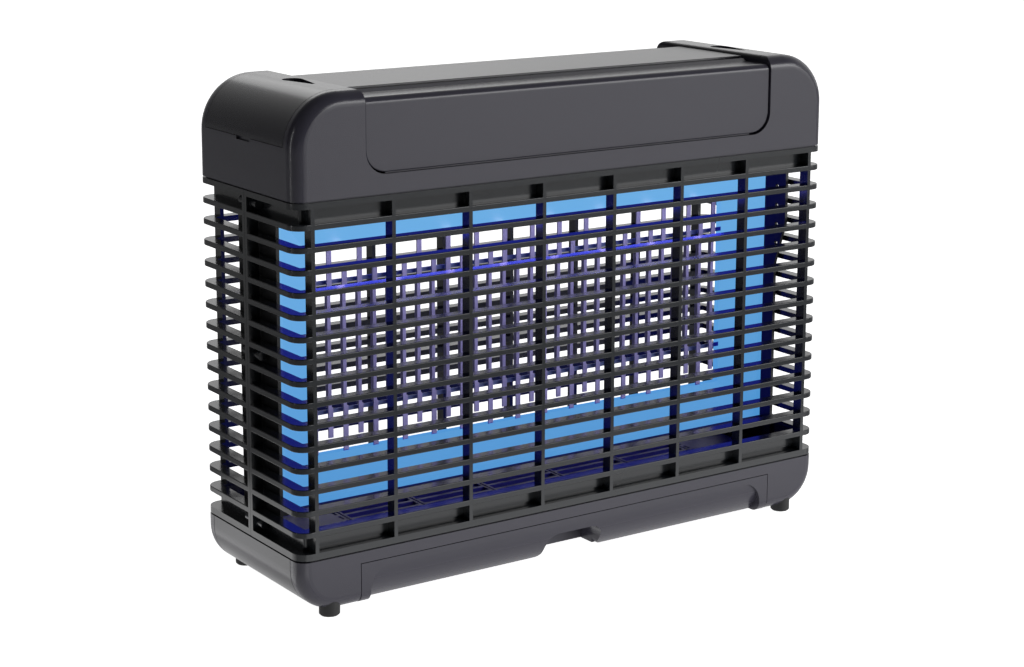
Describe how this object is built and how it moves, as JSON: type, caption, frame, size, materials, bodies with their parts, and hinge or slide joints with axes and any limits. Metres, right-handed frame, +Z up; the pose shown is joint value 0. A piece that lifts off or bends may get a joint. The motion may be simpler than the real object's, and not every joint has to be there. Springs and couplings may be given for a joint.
{
  "type": "electric bug zapper",
  "caption": "Free-standing or hanging insect killer: louvred guard around a lit frame and a high voltage grid, with a pull-out collecting tray.",
  "frame": {"origin": "centre of the footprint on the floor, under the feet", "axes": "+X to the right along the width seen from the front, -Y towards the front where the tray pulls out, +Z up"},
  "size_m": [0.34, 0.103, 0.2655],
  "materials": {
    "housing_plastic": "fine moulded texture, dark grey",
    "cover_plastic": "smooth satin, dark grey",
    "plate_plastic": "smooth semi-gloss, dark grey",
    "guard_plastic": "satin, dark grey",
    "inner_plastic": "satin black",
    "steel": "bright zinc",
    "screw_steel": "zinc plated",
    "gland_plastic": "satin black",
    "foot_rubber": "matte black",
    "reflector": "pale, lit blue from the lamps",
    "led_board": "white solder mask",
    "led_chip": "clear lens, lit violet blue",
    "grid_metal": "bright stamped sheet",
    "spacer_plastic": "translucent, catches blue light",
    "ceramic": "glazed off-white",
    "lead_insulation": "soft red sleeve",
    "circuit_board": "green solder mask",
    "brass": "turned",
    "transformer": "varnished core and winding",
    "capacitor_sleeve": "dark sleeve",
    "film_capacitor": "dipped resin",
    "terminal_plastic": "moulded"
  },
  "bodies": {
    "housing": {"top_housing": "housing_plastic", "top_cover": "housing_plastic", "top_plate": "plate_plastic", "partition_plate": "inner_plastic", "hanger_bars": "steel", "cord_gland": "gland_plastic", "front_guard": "guard_plastic", "rear_guard": "guard_plastic", "base_shell": "housing_plastic", "right_base_cap": "cover_plastic", "left_base_cap": "cover_plastic", "base_grille": "inner_plastic", "feet": "foot_rubber", "right_end_bracket": "inner_plastic", "left_end_bracket": "inner_plastic", "lamp_top_rail": "inner_plastic", "lamp_bottom_rail": "inner_plastic", "front_reflector": "reflector", "rear_reflector": "reflector", "led_strips": "led_board", "led_chips": "led_chip", "upper_comb": "grid_metal", "lower_comb": "grid_metal", "grid_spacers": "spacer_plastic", "grid_insulators": "ceramic", "hv_leads": "lead_insulation", "driver_board": "circuit_board", "board_standoffs": "brass", "hv_transformer": "transformer", "electrolytic_capacitors": "capacitor_sleeve", "film_capacitors": "film_capacitor", "terminal_block": "terminal_plastic", "base_screws": "screw_steel", "board_screws": "screw_steel", "partition_screws": "screw_steel"},
    "tray": {"collecting_tray": "housing_plastic"},
    "right_cover": {"right_side_cover": "cover_plastic"},
    "left_cover": {"left_side_cover": "cover_plastic"}
  },
  "joints": [
    {"name": "tray_slide", "type": "slide", "parent": "housing", "child": "tray", "axis": [0, -1, 0], "range_m": [0, 0.095]},
    {"name": "right_cover_slide", "type": "slide", "parent": "housing", "child": "right_cover", "axis": [1, 0, 0], "range_m": [0, 0.03]},
    {"name": "left_cover_slide", "type": "slide", "parent": "housing", "child": "left_cover", "axis": [-1, 0, 0], "range_m": [0, 0.03]}
  ]
}
